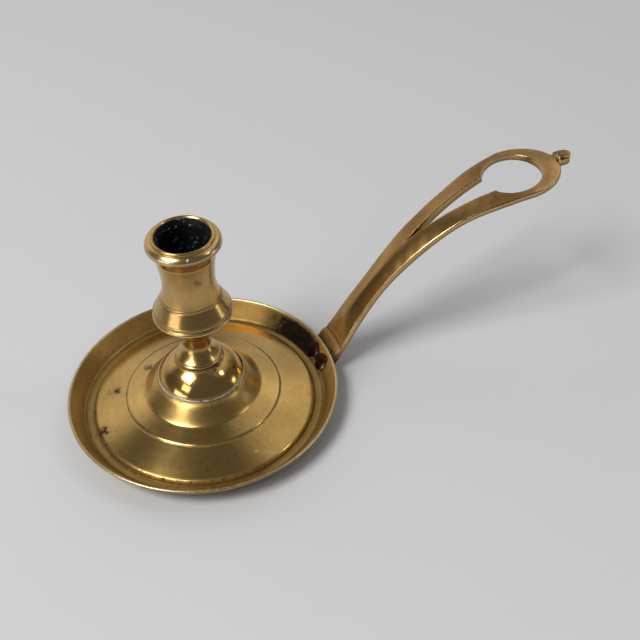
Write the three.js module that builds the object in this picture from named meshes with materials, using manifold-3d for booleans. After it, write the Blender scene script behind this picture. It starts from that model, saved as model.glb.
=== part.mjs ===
import * as THREE from 'three';
import { mergeVertices } from 'three/addons/utils/BufferGeometryUtils.js';
import Module from 'manifold-3d';

// Long-handled brass chamber candlestick, in millimetres, +Z up, standing on z = 0.
// While the pieces are made the pan's axis is the Z axis and the handle points along +X.

const wasm = await Module();
wasm.setup();

// Fits and facets
const fitGap = 0.3; // clearance where two pieces meet
const panSteps = 60; // facets round the pan
const stemSteps = 40; // facets round the foot, the socket and its fastenings
const curveSteps = 4; // chords in each curved stretch of a profile

// Drip pan, raised from one sheet
const panRadius = 60; // outside of the rim
const panHeight = 10.3; // top of the rim above the table
const panSheet = 1.3; // thickness of the sheet
const wallLean = 35; // degrees that the wall leans outwards
const channelWidth = 3.9; // ring that the pan stands on, between wall and raised floor
const wallFillet = 1.6; // run of the rounded corner at the wall's foot
const shoulderRun = 0.6; // steep edge from the channel up to the raised floor
const shoulderRise = 2.35;
const shoulderFillet = 0.8; // run of the rounded corners below and above the steep edge
const floorRise = 5.05; // raised floor from the steep edge up to the step
const stepRun = 0.5; // small step that rings the raised floor
const stepRise = 0.35;
const plateauRun = 7.2; // gently sloping ring above the step
const plateauRise = 2.37;
const domeRun = 8.4; // ogee that carries the foot
const domeRise = 7.48;
const domeEase = 0.29; // length of the ogee's end tangents, as a share of its run

// Stem foot
const footRadius = 18.9;
const footBand = 1.1; // upright edge round the foot
const footHeight = 9.8;
const footTopRadius = 10;
const footCrown = 0.9; // how far the dome stands out from a straight cone
const seatMargin = 1.1; // the pan's flat seat ends this far inside the foot's edge

// Candle socket, turned in one piece with its neck and tenon
const tenonRadius = 3;
const tenonEnd = 1.5; // tenon beyond the nut
const tenonChamfer = 0.6;
const ringRadius = 9.8; // double ring that stands on the foot
const ringHeight = 1.45;
const ringRound = 0.7; // how far each ring swells
const neckRadius = 5.5;
const trumpetHeight = 4.6; // from the rings up to the neck
const neckHeight = 4.4;
const coveHeight = 12.8; // from the neck up to the socket's base
const baseRadius = 16.8; // low bead round the socket's base
const baseHeight = 2.6;
const baseRound = 0.9;
const beadRadius = 16.4; // second bead above it
const beadHeight = 1.9;
const beadRound = 0.5;
const skirtHeight = 5.7; // conical skirt above the beads
const skirtTopRadius = 12.75;
const lowerFlareHeight = 6.5; // from the skirt up to the waist
const waistHeight = 3.5;
const upperFlareHeight = 11.5; // from the waist up to the mouth's cove
const mouthCoveRadius = 12.5; // foot of the cove under the mouth moulding
const mouthCoveHeight = 5.5;
const flareHollow = 0.22; // stand-off of a flare's control point, as a share of its reach
const boreRadius = 9.9; // takes the candle
const boreDepth = 30;
const socketWall = 1.1; // wall at the waist
const bulgeReach = 5.6; // widest part of the mouth moulding, beyond the bore
const bulgeHeight = 2.9;
const bulgeDraw = 1.9; // how far the moulding draws in at its top
const lipReach = 3.1; // lip ring, beyond the bore
const lipHeight = 1.1;
const mouthReach = 1.5; // rounded inner edge of the mouth, beyond the bore
const mouthLead = 3.2; // depth of the flared lead-in

// Washer and square nut under the pan
const washerRadius = 8;
const washerHeight = 1.2;
const nutWidth = 11;
const nutHeight = 4.5;

// Handle: a pad on the pan's wall, a curved strap, a keyhole opening and an end knob
const padThickness = 3.3;
const padHalfWidth = 8.5;
const padFoot = 1.8; // lower end of the pad above the table
const padLedge = 2.3; // pad's upper edge above the rim
const rootHeight = 8.9; // where the strap's back leaves the pad
const rootAngle = 57.7; // degrees of rise of the strap's back at the pad
const rootPull = 76.6; // length of the back line's tangent at the pad
const handleReach = 122.4; // knob's end beyond the rim
const handleRise = 76.4; // knob's back above the table
const tipAngle = 0.8;
const tipPull = 42.1;
const waistAt = 34; // along the strap, from the pad
const waistHalfWidth = 6.9;
const forkHalfWidth = 8.85; // where the opening begins
const cheekAt = 24; // along the strap, after the opening's start
const cheekHalfWidth = 11.3;
const shoulderAt = 15.5; // along the strap, before the loop's widest place
const shoulderHalfWidth = 15;
const loopHalfWidth = 17.2;
const loopEndLength = 21; // from the loop's widest place to its end
const edgeHeight = 2; // upright sides of the strap
const crownRise = 3.1; // dome of the strap above its sides
const loopCrownRise = 1.2; // lower dome of the loop
const crownStart = 3; // the dome begins here, along the strap
const crownFull = 20; // and is full here
const holeRadius = 13.3; // finger hole
const holeOffset = 1.7; // its middle, before the loop's widest place
const slotLength = 55.5; // from the slot's point to the middle of the finger hole
const slotHalfWidth = 5.9; // where the slot runs into the finger hole
const slotPoint = 0.4; // half width of the slot's rounded point
const knobLength = 7;
const knobHalfWidth = 3.5;
const knobCrownRise = 1.8; // dome of the knob above its sides
const filedLine = 0.6; // depth of the filed lines at the pad and the knob

// Rivets through the wall and the pad
const rivetSpacing = 8.6;
const rivetHeight = 4.9; // middle of the rivets, on the wall
const rivetRadius = 2;
const rivetHeadRadius = 3.4;
const rivetHeadHeight = 1.6;
const rivetTailRadius = 2.4;
const rivetTailHeight = 0.7;

// Derived places
const degree = Math.PI / 180;
const halfSheet = panSheet / 2;
const leanTangent = Math.tan(wallLean * degree);
const leanCosine = Math.cos(wallLean * degree);
const stemHole = tenonRadius + fitGap;
const seatRadius = footRadius - seatMargin;
const toeRadius = seatRadius + domeRun;
const stepRadius = toeRadius + plateauRun;
const floorTop = halfSheet + shoulderRise + floorRise;
const stepTop = floorTop + stepRise;
const toeHeight = stepTop + plateauRise;
const seatMiddle = toeHeight + domeRise;
const seatTop = seatMiddle + halfSheet;
const footBottom = seatTop + fitGap;
const socketBottom = footBottom + footHeight + fitGap;
const washerBottom = seatTop - panSheet - fitGap - washerHeight;
const nutBottom = washerBottom - fitGap - nutHeight;
const tenonLength = socketBottom - nutBottom + tenonEnd;
const strapHeight = edgeHeight + crownRise;
const rimMiddle = new THREE.Vector2(panRadius - halfSheet, panHeight - halfSheet);

// Middle of the wall's sheet, and a surface at a set distance outside it, at a given height
function wallRadius(height, outside = 0) {
  return rimMiddle.x - (rimMiddle.y - height) * leanTangent + outside / leanCosine;
}

// Revolves a profile about the Z axis; the profile ends on the axis or closes on itself
function turned(points, steps) {
  const profile = THREE.ShapeUtils.area(points) < 0 ? points.slice().reverse() : points;
  return joined(new THREE.LatheGeometry(profile, steps).rotateX(Math.PI / 2));
}

// Leaves only positions, with shared vertices merged
function joined(geometry) {
  geometry.deleteAttribute('normal');
  geometry.deleteAttribute('uv');
  return mergeVertices(geometry, 1e-5);
}

function solidOf(geometry) {
  const clean = joined(geometry);
  const vertProperties = new Float32Array(clean.attributes.position.array);
  const triVerts = new Uint32Array(clean.index.array);
  return new wasm.Manifold(new wasm.Mesh({ numProp: 3, vertProperties, triVerts }));
}

function skinOf(solid) {
  const { vertProperties, triVerts } = solid.getMesh();
  const geometry = new THREE.BufferGeometry();
  geometry.setAttribute('position', new THREE.BufferAttribute(new Float32Array(vertProperties), 3));
  geometry.setIndex(new THREE.BufferAttribute(new Uint32Array(triVerts), 1));
  return geometry;
}

// Joins rings of equal length into one closed skin, with a fan over each end
function lofted(rings) {
  const size = rings[0].length;
  const last = (rings.length - 1) * size;
  const index = [];
  for (let ring = 0; ring < last; ring += size) {
    for (let i = 0; i < size; i += 1) {
      const next = (i + 1) % size;
      index.push(ring + i, ring + size + next, ring + next);
      index.push(ring + i, ring + size + i, ring + size + next);
    }
  }
  for (let i = 1; i < size - 1; i += 1) {
    index.push(0, i, i + 1);
    index.push(last, last + i + 1, last + i);
  }
  const geometry = new THREE.BufferGeometry().setFromPoints(rings.flat());
  geometry.setIndex(index);
  return geometry;
}

function finished(geometry) {
  const flat = geometry.index ? geometry.toNonIndexed() : geometry;
  flat.computeVertexNormals();
  return flat;
}

function metal(colour, roughness) {
  return new THREE.MeshStandardMaterial({ color: colour, roughness, metalness: 1 });
}

const candlestick = new THREE.Group();
candlestick.name = 'chamber_candlestick';

function addPiece(name, geometry, material) {
  const piece = new THREE.Mesh(finished(geometry), material);
  piece.name = name;
  candlestick.add(piece);
  return piece;
}

const polishedBrass = metal('#b08a3a', 0.28);
const castBrass = metal('#8f6d35', 0.42);
const rivetCopper = metal('#5e2c1c', 0.5);
const darkIron = metal('#4a4540', 0.7);

// Rivet places: Z of the rivet runs up its axis to the head, from the middle of the wall
function rivetPlace(side) {
  const radius = wallRadius(rivetHeight);
  const place = new THREE.Matrix4().makeRotationZ(side * Math.asin(rivetSpacing / 2 / radius));
  place.multiply(new THREE.Matrix4().makeTranslation(radius, 0, rivetHeight));
  return place.multiply(new THREE.Matrix4().makeRotationY(wallLean * degree - Math.PI / 2));
}

function rivetHole(side) {
  const radius = rivetRadius + fitGap;
  const drill = new THREE.CylinderGeometry(radius, radius, padThickness * 6, stemSteps / 2);
  return solidOf(drill.rotateX(Math.PI / 2).applyMatrix4(rivetPlace(side)));
}

// Rounds a profile's corner with a curve that starts and ends a set run away from it
function roundCorner(path, corner, next, run) {
  const from = path.currentPoint.clone();
  const before = corner.clone().addScaledVector(corner.clone().sub(from).normalize(), -run);
  const after = corner.clone().addScaledVector(next.clone().sub(corner).normalize(), run);
  path.lineTo(before.x, before.y);
  path.quadraticCurveTo(corner.x, corner.y, after.x, after.y);
}

// Drip pan: the middle line of the sheet from the stem hole out to the rim
function panMiddleLine() {
  const domeTangent = domeEase * domeRun;
  const plateauSlope = plateauRise / plateauRun;
  const outerCorner = new THREE.Vector2(wallRadius(halfSheet), halfSheet);
  const innerCorner = new THREE.Vector2(outerCorner.x - channelWidth, halfSheet);
  const shoulder = innerCorner.clone().add(new THREE.Vector2(-shoulderRun, shoulderRise));
  const line = new THREE.Path();
  line.moveTo(stemHole, seatMiddle);
  line.lineTo(seatRadius, seatMiddle);
  line.bezierCurveTo(
    seatRadius + domeTangent, seatMiddle,
    toeRadius - domeTangent, toeHeight + plateauSlope * domeTangent,
    toeRadius, toeHeight,
  );
  line.lineTo(stepRadius, stepTop);
  line.lineTo(stepRadius + stepRun, floorTop);
  roundCorner(line, shoulder, innerCorner, shoulderFillet);
  roundCorner(line, innerCorner, outerCorner, shoulderFillet);
  roundCorner(line, outerCorner, rimMiddle, wallFillet);
  line.lineTo(rimMiddle.x, rimMiddle.y);
  return line.getPoints(curveSteps);
}

// A sheet's outline: its middle line moved half a sheet to both sides, with a rounded outer end
function sheetOutline(middle) {
  const upper = [];
  const lower = [];
  middle.forEach((point, i) => {
    const before = middle[Math.max(i - 1, 0)];
    const after = middle[Math.min(i + 1, middle.length - 1)];
    const arrive = (i > 0 ? point.clone().sub(before) : after.clone().sub(point)).normalize();
    const leave = (after !== point ? after.clone().sub(point) : arrive.clone()).normalize();
    const along = arrive.clone().add(leave).normalize();
    const offset = new THREE.Vector2(-along.y, along.x).multiplyScalar(halfSheet / along.dot(arrive));
    upper.push(point.clone().add(offset));
    lower.push(point.clone().sub(offset));
  });
  const end = middle[middle.length - 1];
  const startAngle = upper[upper.length - 1].clone().sub(end).angle();
  const cap = [];
  for (let i = 1; i < curveSteps; i += 1) {
    const angle = startAngle - (Math.PI * i) / curveSteps;
    cap.push(new THREE.Vector2(Math.cos(angle), Math.sin(angle)).multiplyScalar(halfSheet).add(end));
  }
  return [...upper, ...cap, ...lower.reverse(), upper[0]];
}

const panSolid = solidOf(turned(sheetOutline(panMiddleLine()), panSteps));
const drilledPan = panSolid.subtract(rivetHole(-1)).subtract(rivetHole(1));
addPiece('drip_pan', skinOf(drilledPan), polishedBrass);

// Stem foot: a low dome with an upright edge
function footProfile() {
  const slope = new THREE.Vector2(footTopRadius - footRadius, footHeight - footBand);
  const outwards = new THREE.Vector2(slope.y, -slope.x).normalize().multiplyScalar(2 * footCrown);
  const path = new THREE.Path();
  path.moveTo(stemHole, 0);
  path.lineTo(footRadius, 0);
  path.lineTo(footRadius, footBand);
  path.quadraticCurveTo(
    footRadius + slope.x / 2 + outwards.x, footBand + slope.y / 2 + outwards.y,
    footTopRadius, footHeight,
  );
  path.lineTo(stemHole, footHeight);
  path.lineTo(stemHole, 0);
  return path.getPoints(curveSteps);
}

const foot = addPiece('stem_foot', turned(footProfile(), stemSteps), polishedBrass);
foot.position.z = footBottom;

// Adds a half-round moulding of the given height, swelling from its foot to its full radius
function addBead(path, radius, swell, height) {
  const bottom = path.currentPoint.y;
  const inner = radius - swell;
  path.lineTo(inner, bottom);
  path.quadraticCurveTo(radius + swell, bottom + height / 2, inner, bottom + height);
}

// Adds a hollow curve to a new radius; it hugs the narrow end
function addHollow(path, radius, height, narrowRadius) {
  const { x, y } = path.currentPoint;
  const wideRadius = Math.max(x, radius);
  const control = narrowRadius + flareHollow * (wideRadius - narrowRadius);
  path.quadraticCurveTo(control, y + height / 2, radius, y + height);
}

// Candle socket: tenon, double ring, neck, base beads, skirt, waist, mouth moulding and bore
function socketProfile() {
  const waistRadius = boreRadius + socketWall;
  const bulgeRadius = boreRadius + bulgeReach;
  const lipRadius = boreRadius + lipReach;
  const mouthRadius = boreRadius + mouthReach;
  const path = new THREE.Path();
  path.moveTo(0, -tenonLength);
  path.lineTo(tenonRadius - tenonChamfer, -tenonLength);
  path.lineTo(tenonRadius, tenonChamfer - tenonLength);
  path.lineTo(tenonRadius, 0);
  addBead(path, ringRadius, ringRound, ringHeight);
  addBead(path, ringRadius, ringRound, ringHeight);
  addHollow(path, neckRadius, trumpetHeight, neckRadius);
  path.lineTo(neckRadius, path.currentPoint.y + neckHeight);
  addHollow(path, baseRadius - baseRound, coveHeight, neckRadius);
  addBead(path, baseRadius, baseRound, baseHeight);
  addBead(path, beadRadius, beadRound, beadHeight);
  path.lineTo(skirtTopRadius, path.currentPoint.y + skirtHeight);
  addHollow(path, waistRadius, lowerFlareHeight, waistRadius);
  path.lineTo(waistRadius, path.currentPoint.y + waistHeight);
  addHollow(path, mouthCoveRadius, upperFlareHeight, waistRadius);
  addHollow(path, bulgeRadius, mouthCoveHeight, mouthCoveRadius);
  const bulgeTop = path.currentPoint.y + bulgeHeight;
  const lipTop = bulgeTop + lipHeight;
  path.quadraticCurveTo(bulgeRadius, bulgeTop - bulgeHeight / 3, bulgeRadius - bulgeDraw, bulgeTop);
  path.lineTo(lipRadius, bulgeTop);
  path.quadraticCurveTo(lipRadius, lipTop, (lipRadius + mouthRadius) / 2, lipTop);
  path.quadraticCurveTo(mouthRadius, lipTop, boreRadius, lipTop - mouthLead);
  path.lineTo(boreRadius, lipTop - boreDepth);
  path.lineTo(0, lipTop - boreDepth);
  return path.getPoints(curveSteps);
}

const socket = addPiece('candle_socket', turned(socketProfile(), stemSteps), polishedBrass);
socket.position.z = socketBottom;

// Washer and square nut on the tenon, under the pan
function ringProfile(inner, outer, height) {
  const corners = [[inner, 0], [outer, 0], [outer, height], [inner, height], [inner, 0]];
  return corners.map(([radius, z]) => new THREE.Vector2(radius, z));
}

const washer = addPiece(
  'stem_washer', turned(ringProfile(stemHole, washerRadius, washerHeight), stemSteps), darkIron,
);
washer.position.z = washerBottom;

function nutGeometry() {
  const half = nutWidth / 2;
  const square = new THREE.Shape();
  square.moveTo(-half, -half);
  square.lineTo(half, -half);
  square.lineTo(half, half);
  square.lineTo(-half, half);
  square.closePath();
  square.holes.push(new THREE.Path().absarc(0, 0, stemHole, 0, Math.PI * 2, true));
  const cut = { depth: nutHeight, bevelEnabled: false, curveSegments: stemSteps / 2 };
  return joined(new THREE.ExtrudeGeometry(square, cut));
}

const nut = addPiece('stem_nut', nutGeometry(), darkIron);
nut.position.z = nutBottom;

// Handle: its flat back follows one curve in the XZ plane
function direction(angle) {
  return new THREE.Vector2(Math.cos(angle * degree), Math.sin(angle * degree));
}

const backRoot = new THREE.Vector2(
  wallRadius(rootHeight, halfSheet + fitGap + padThickness), rootHeight,
);
const backTip = new THREE.Vector2(panRadius + handleReach, handleRise);
const backLine = new THREE.CubicBezierCurve(
  backRoot,
  backRoot.clone().addScaledVector(direction(rootAngle), rootPull),
  backTip.clone().addScaledVector(direction(tipAngle), -tipPull),
  backTip,
);
const handleLength = backLine.getLength();
const loopEndAt = handleLength - knobLength;
const loopAt = loopEndAt - loopEndLength;
const holeAt = loopAt - holeOffset;
const slotAt = holeAt - slotLength;

// A point on the handle: distance along the back, side step and height above the back
function onHandle(distance, across, height) {
  const share = THREE.MathUtils.clamp(distance / handleLength, 0, 1);
  const point = backLine.getPointAt(share);
  const along = backLine.getTangentAt(share);
  return new THREE.Vector3(point.x - along.y * height, across, point.y + along.x * height);
}

// Height of the strap's dome above its upright sides; it sinks along the slot to the loop
function strapDome(distance) {
  const sunk = THREE.MathUtils.smoothstep(distance, slotAt, holeAt);
  const rise = THREE.MathUtils.lerp(crownRise, loopCrownRise, sunk);
  return rise * THREE.MathUtils.smoothstep(distance, crownStart, crownFull);
}

// The knob's dome sinks with its width towards the tip
function knobDome(distance, halfWidth) {
  return (knobCrownRise * halfWidth) / knobHalfWidth;
}

// One section of the handle: flat back, upright sides and a domed top
function domedSection(distance, halfWidth, dome) {
  const topSteps = curveSteps * 2;
  const section = [onHandle(distance, -halfWidth, 0)];
  for (let i = 0; i <= topSteps; i += 1) {
    const across = (2 * i) / topSteps - 1;
    const height = edgeHeight + dome * (1 - across * across);
    section.push(onHandle(distance, across * halfWidth, height));
  }
  section.push(onHandle(distance, halfWidth, 0));
  return section;
}

// Outline of the strap seen from above: distance along the back and half width
function strapOutline() {
  const outline = new THREE.Path();
  outline.moveTo(0, padHalfWidth);
  outline.splineThru([
    new THREE.Vector2(waistAt, waistHalfWidth),
    new THREE.Vector2(slotAt, forkHalfWidth),
    new THREE.Vector2(slotAt + cheekAt, cheekHalfWidth),
    new THREE.Vector2(loopAt - shoulderAt, shoulderHalfWidth),
    new THREE.Vector2(loopAt, loopHalfWidth),
  ]);
  const endAngle = Math.asin(knobHalfWidth / loopHalfWidth) / 2;
  outline.absellipse(loopAt, 0, loopEndLength, loopHalfWidth, Math.PI / 2, endAngle, true);
  return outline.getPoints(curveSteps + 1);
}

function knobOutline() {
  const outline = new THREE.Path();
  outline.moveTo(loopEndAt - knobHalfWidth / 3, knobHalfWidth);
  outline.lineTo(handleLength - knobHalfWidth, knobHalfWidth);
  outline.absarc(handleLength - knobHalfWidth, 0, knobHalfWidth, Math.PI / 2, 0, true);
  const points = outline.getPoints(curveSteps);
  return points.map((point) => new THREE.Vector2(point.x, Math.max(point.y, slotPoint)));
}

function domedBar(outline, domeAt) {
  const stations = outline.filter((point, i) => i === 0 || point.x > outline[i - 1].x + slotPoint / 10);
  return solidOf(lofted(stations.map(({ x, y }) => domedSection(x, y, domeAt(x, y)))));
}

// Cutter for the slot: a wedge that follows the strap from its point into the finger hole
function slotCutter() {
  const mouthAt = holeAt - Math.sqrt(holeRadius ** 2 - slotHalfWidth ** 2);
  const rings = [];
  const steps = curveSteps * 3;
  for (let i = 0; i <= steps; i += 1) {
    const distance = THREE.MathUtils.lerp(slotAt, mouthAt + slotHalfWidth / 4, i / steps);
    const share = (distance - slotAt) / (mouthAt - slotAt);
    const half = THREE.MathUtils.lerp(slotPoint, slotHalfWidth, share);
    rings.push([
      onHandle(distance, -half, -strapHeight),
      onHandle(distance, -half, 2 * strapHeight),
      onHandle(distance, half, 2 * strapHeight),
      onHandle(distance, half, -strapHeight),
    ]);
  }
  return solidOf(lofted(rings));
}

// Cutter for the round finger hole, square to the loop
function holeCutter() {
  const share = holeAt / handleLength;
  const along = backLine.getTangentAt(share);
  const drill = new THREE.CylinderGeometry(holeRadius, holeRadius, strapHeight * 6, stemSteps);
  const place = new THREE.Matrix4().makeBasis(
    new THREE.Vector3(along.x, 0, along.y),
    new THREE.Vector3(-along.y, 0, along.x),
    new THREE.Vector3(0, -1, 0),
  );
  return solidOf(drill.applyMatrix4(place.setPosition(onHandle(holeAt, 0, 0))));
}

// Cutter for a filed line straight across the handle
function lineCutter(place) {
  const bar = new THREE.CylinderGeometry(filedLine, filedLine, loopHalfWidth * 2, 4);
  return solidOf(bar.translate(place.x, 0, place.z));
}

// Pad: follows the pan's wall, with a sloping ledge up to the strap
const ledgeEdge = onHandle(edgeHeight * 2, 0, edgeHeight);

function padSolid() {
  const clear = halfSheet + fitGap;
  const top = panHeight + padLedge;
  const profile = [
    new THREE.Vector2(wallRadius(padFoot, clear), padFoot),
    new THREE.Vector2(wallRadius(padFoot, clear + padThickness), padFoot),
    backRoot,
    new THREE.Vector2(ledgeEdge.x, ledgeEdge.z),
    new THREE.Vector2(wallRadius(top, clear), top),
    new THREE.Vector2(wallRadius(padFoot, clear), padFoot),
  ];
  const reach = panRadius * 2;
  const slice = new THREE.BoxGeometry(reach, padHalfWidth * 2, reach).translate(reach / 2, 0, 0);
  return solidOf(turned(profile, panSteps)).intersect(solidOf(slice));
}

// Everything inside the wall's outer face and its clearance, which the handle keeps out of
function panEnvelope() {
  const clear = halfSheet + fitGap;
  const profile = [
    new THREE.Vector2(0, 0),
    new THREE.Vector2(wallRadius(0, clear), 0),
    new THREE.Vector2(wallRadius(panHeight * 3, clear), panHeight * 3),
    new THREE.Vector2(0, panHeight * 3),
  ];
  return solidOf(turned(profile, panSteps));
}

const handleSolid = domedBar(strapOutline(), strapDome)
  .add(padSolid())
  .add(domedBar(knobOutline(), knobDome))
  .subtract(slotCutter())
  .subtract(holeCutter())
  .subtract(lineCutter(ledgeEdge))
  .subtract(lineCutter(onHandle(loopEndAt, 0, edgeHeight + loopCrownRise)))
  .subtract(panEnvelope())
  .subtract(rivetHole(-1))
  .subtract(rivetHole(1));
addPiece('handle', skinOf(handleSolid), castBrass);

// Rivets: domed head inside the pan, shank through wall and pad, low peened tail outside
function rivetProfile() {
  const headSeat = halfSheet + fitGap;
  const tailSeat = -(halfSheet + fitGap + padThickness + fitGap);
  const path = new THREE.Path();
  path.moveTo(0, tailSeat - rivetTailHeight);
  path.quadraticCurveTo(
    rivetTailRadius, tailSeat - rivetTailHeight,
    rivetTailRadius, tailSeat,
  );
  path.lineTo(rivetRadius, tailSeat);
  path.lineTo(rivetRadius, headSeat);
  path.lineTo(rivetHeadRadius, headSeat);
  path.quadraticCurveTo(rivetHeadRadius, headSeat + rivetHeadHeight, 0, headSeat + rivetHeadHeight);
  return path.getPoints(curveSteps);
}

for (const [name, side] of [['handle_rivet_left', 1], ['handle_rivet_right', -1]]) {
  addPiece(name, turned(rivetProfile(), stemSteps / 2), rivetCopper).applyMatrix4(rivetPlace(side));
}

// The whole stands with its origin under the middle of its length
const extent = new THREE.Box3().setFromObject(candlestick, true);
candlestick.position.x = -(extent.min.x + extent.max.x) / 2;

export default candlestick;
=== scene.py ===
from math import comb, radians

import bmesh
import bpy
import numpy as np
from mathutils import Matrix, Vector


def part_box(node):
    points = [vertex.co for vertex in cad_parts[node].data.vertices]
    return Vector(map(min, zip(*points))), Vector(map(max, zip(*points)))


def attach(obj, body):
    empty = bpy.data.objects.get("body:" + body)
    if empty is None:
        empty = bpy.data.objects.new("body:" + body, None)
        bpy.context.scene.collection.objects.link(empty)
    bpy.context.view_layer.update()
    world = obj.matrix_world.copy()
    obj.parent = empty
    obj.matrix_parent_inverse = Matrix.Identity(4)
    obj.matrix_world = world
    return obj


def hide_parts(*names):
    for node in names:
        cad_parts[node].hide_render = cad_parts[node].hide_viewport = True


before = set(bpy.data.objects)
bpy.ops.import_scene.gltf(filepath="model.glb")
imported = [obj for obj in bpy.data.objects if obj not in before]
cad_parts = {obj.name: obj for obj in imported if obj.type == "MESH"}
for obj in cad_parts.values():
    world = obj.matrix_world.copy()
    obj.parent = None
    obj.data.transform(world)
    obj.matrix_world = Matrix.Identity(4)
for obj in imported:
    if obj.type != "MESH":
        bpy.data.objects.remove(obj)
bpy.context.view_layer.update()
socketLow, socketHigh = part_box("candle_socket")
axisX = (socketLow.x + socketHigh.x) / 2  # the pan's axis; shapes below are in mm about it
mm = .001
weld = 2e-6  # points nearer than this, in m, become one
scene = bpy.context.scene
scene.view_settings.view_transform = "Standard"
print("frame loaded, pan axis at x =", round(axisX * 1000, 3), "mm")


# colours and nodes

def linear(hexText):  # sRGB hex to the linear values that a shader takes
    part = np.array([int(hexText[i:i + 2], 16) for i in (1, 3, 5)]) / 255
    part = np.where(part <= .04045, part / 12.92, ((part + .055) / 1.055) ** 2.4)
    return (*part.tolist(), 1)


def addNode(tree, kind, out=0, settings=(), **inputs):  # one node with its settings and links; gives one output
    made = tree.nodes.new(kind)
    for name, value in dict(settings).items():
        setattr(made, name, value)
    for name, value in inputs.items():
        byNumber = name[1:].isdigit()  # i0, i1 and so on
        socket = made.inputs[int(name[1:]) if byNumber else name.replace("_", " ")]
        if isinstance(value, bpy.types.NodeSocket):
            tree.links.new(value, socket)
        else:
            socket.default_value = linear(value) if isinstance(value, str) else value
    return made.outputs[out] if made.outputs else made


# shapes

def bezier(controls, steps):  # point = controls weighted by the Bernstein terms at each share
    share = np.linspace(0, 1, steps)[:, None]
    last = len(controls) - 1
    terms = [comb(last, i) * (1 - share) ** (last - i) * share ** i for i in range(last + 1)]
    return sum(term * np.array(control, float) for term, control in zip(terms, controls))


def throughPoints(points, steps):  # cubic through the points, each slope half the step between its neighbours
    p = np.array(points, float)
    ends = np.vstack([p[:1], p, p[-1:]])
    slope = (ends[2:] - ends[:-2]) / 2
    s = np.linspace(0, 1, steps, endpoint=False)[:, None, None]
    a, b, c, d = 2 * s ** 3 - 3 * s ** 2 + 1, s ** 3 - 2 * s ** 2 + s, 3 * s ** 2 - 2 * s ** 3, s ** 3 - s ** 2
    line = a * p[:-1] + b * slope[:-1] + c * p[1:] + d * slope[1:]
    return np.vstack([line.swapaxes(0, 1).reshape(-1, 2), p[-1:]])


def roundedLine(corners, runs, steps=7):  # a corner becomes a quadratic curve that starts and ends one run away
    p = np.array(corners, float)
    parts = [p[:1]]
    for before, corner, after, run in zip(p[:-2], p[1:-1], p[2:], runs):
        start = corner + (before - corner) * min(.5, run / np.linalg.norm(before - corner))
        end = corner + (after - corner) * min(.5, run / np.linalg.norm(after - corner))
        parts.append(bezier([start, corner, end], steps) if run else corner[None])
    return np.vstack(parts + [p[-1:]])


def alongLine(line):  # distance of each point from the line's start
    return np.concatenate([[0], np.cumsum(np.hypot(*np.diff(line, axis=0).T))])


def atShare(line, share):  # the point at a share of the line's length
    run = alongLine(line)
    return np.stack([np.interp(np.asarray(share) * run[-1], run, line[:, i]) for i in (0, 1)], -1)


def smooth(low, high, value):  # 0 at low, 1 at high, 3s2 - 2s3 between; low may be the larger
    s = np.clip((value - low) / (high - low), 0, 1)
    return s * s * (3 - 2 * s)


def between(value, start, full, fade, end):  # rises from start to full, falls from fade to end
    return smooth(start, full, value) * smooth(end, fade, value)


def hump(value, middle, width, height=1):  # bell curve
    return height * np.exp(-((value - middle) / width) ** 2)


def humps(value, rows):  # sum of bell curves; a row is a middle, a width and a height
    return sum(hump(value, *row) for row in rows)


def waves(value, rows):  # sum of sines; a row is a height, a pace and a start
    return sum(height * np.sin(pace * value + start) for height, pace, start in rows)


def gridFaces(rows, columns, wrapRows=False, wrapColumns=False):  # a quad for each cell of a grid of points
    i = np.arange(rows if wrapRows else rows - 1)[:, None]
    j = np.arange(columns if wrapColumns else columns - 1)[None]
    nextRow, nextColumn = (i + 1) % rows, (j + 1) % columns
    corners = [i * columns + j, i * columns + nextColumn, nextRow * columns + nextColumn, nextRow * columns + j]
    return np.stack(np.broadcast_arrays(*corners), -1).reshape(-1, 4)


def lathe(profile, turns, warp=None):  # point = (r cos a, r sin a, z), a row for each angle
    angle = np.linspace(0, 2 * np.pi, turns, endpoint=False)[:, None]
    r, z = profile[None, :, 0] + 0 * angle, profile[None, :, 1] + 0 * angle
    if warp:
        r, z = warp(r, z, angle)
    return np.stack([r * np.cos(angle), r * np.sin(angle), z], -1)


def openEdges(mesh):  # count of edges with other than two faces
    edgeOf = np.zeros(len(mesh.loops), int)
    mesh.loops.foreach_get("edge_index", edgeOf)
    return (np.bincount(edgeOf, minlength=len(mesh.edges)) != 2).sum()


def makePiece(name, points, faces, material, node, slot, crease, **layers):  # layers are values at the points
    mesh = bpy.data.meshes.new(name)
    mesh.from_pydata(points.reshape(-1, 3) * mm + (axisX, 0, 0), [], faces.tolist())
    for layer, values in layers.items():
        mesh.attributes.new(layer, "FLOAT", "POINT").data.foreach_set("value", values.astype(np.float32).ravel())
    work = bmesh.new()
    work.from_mesh(mesh)
    bmesh.ops.remove_doubles(work, verts=work.verts, dist=weld)
    bmesh.ops.recalc_face_normals(work, faces=work.faces)
    work.to_mesh(mesh)
    work.free()
    mesh.polygons.foreach_set("use_smooth", np.ones(len(mesh.polygons), bool))
    mesh.set_sharp_from_angle(angle=radians(crease))
    mesh.materials.append(material)
    made = bpy.data.objects.new(name, mesh)
    scene.collection.objects.link(made)
    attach(made, "root")
    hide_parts(node)
    print(name, len(mesh.polygons), "faces,", openEdges(mesh), "open edges")


# finishes

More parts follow.
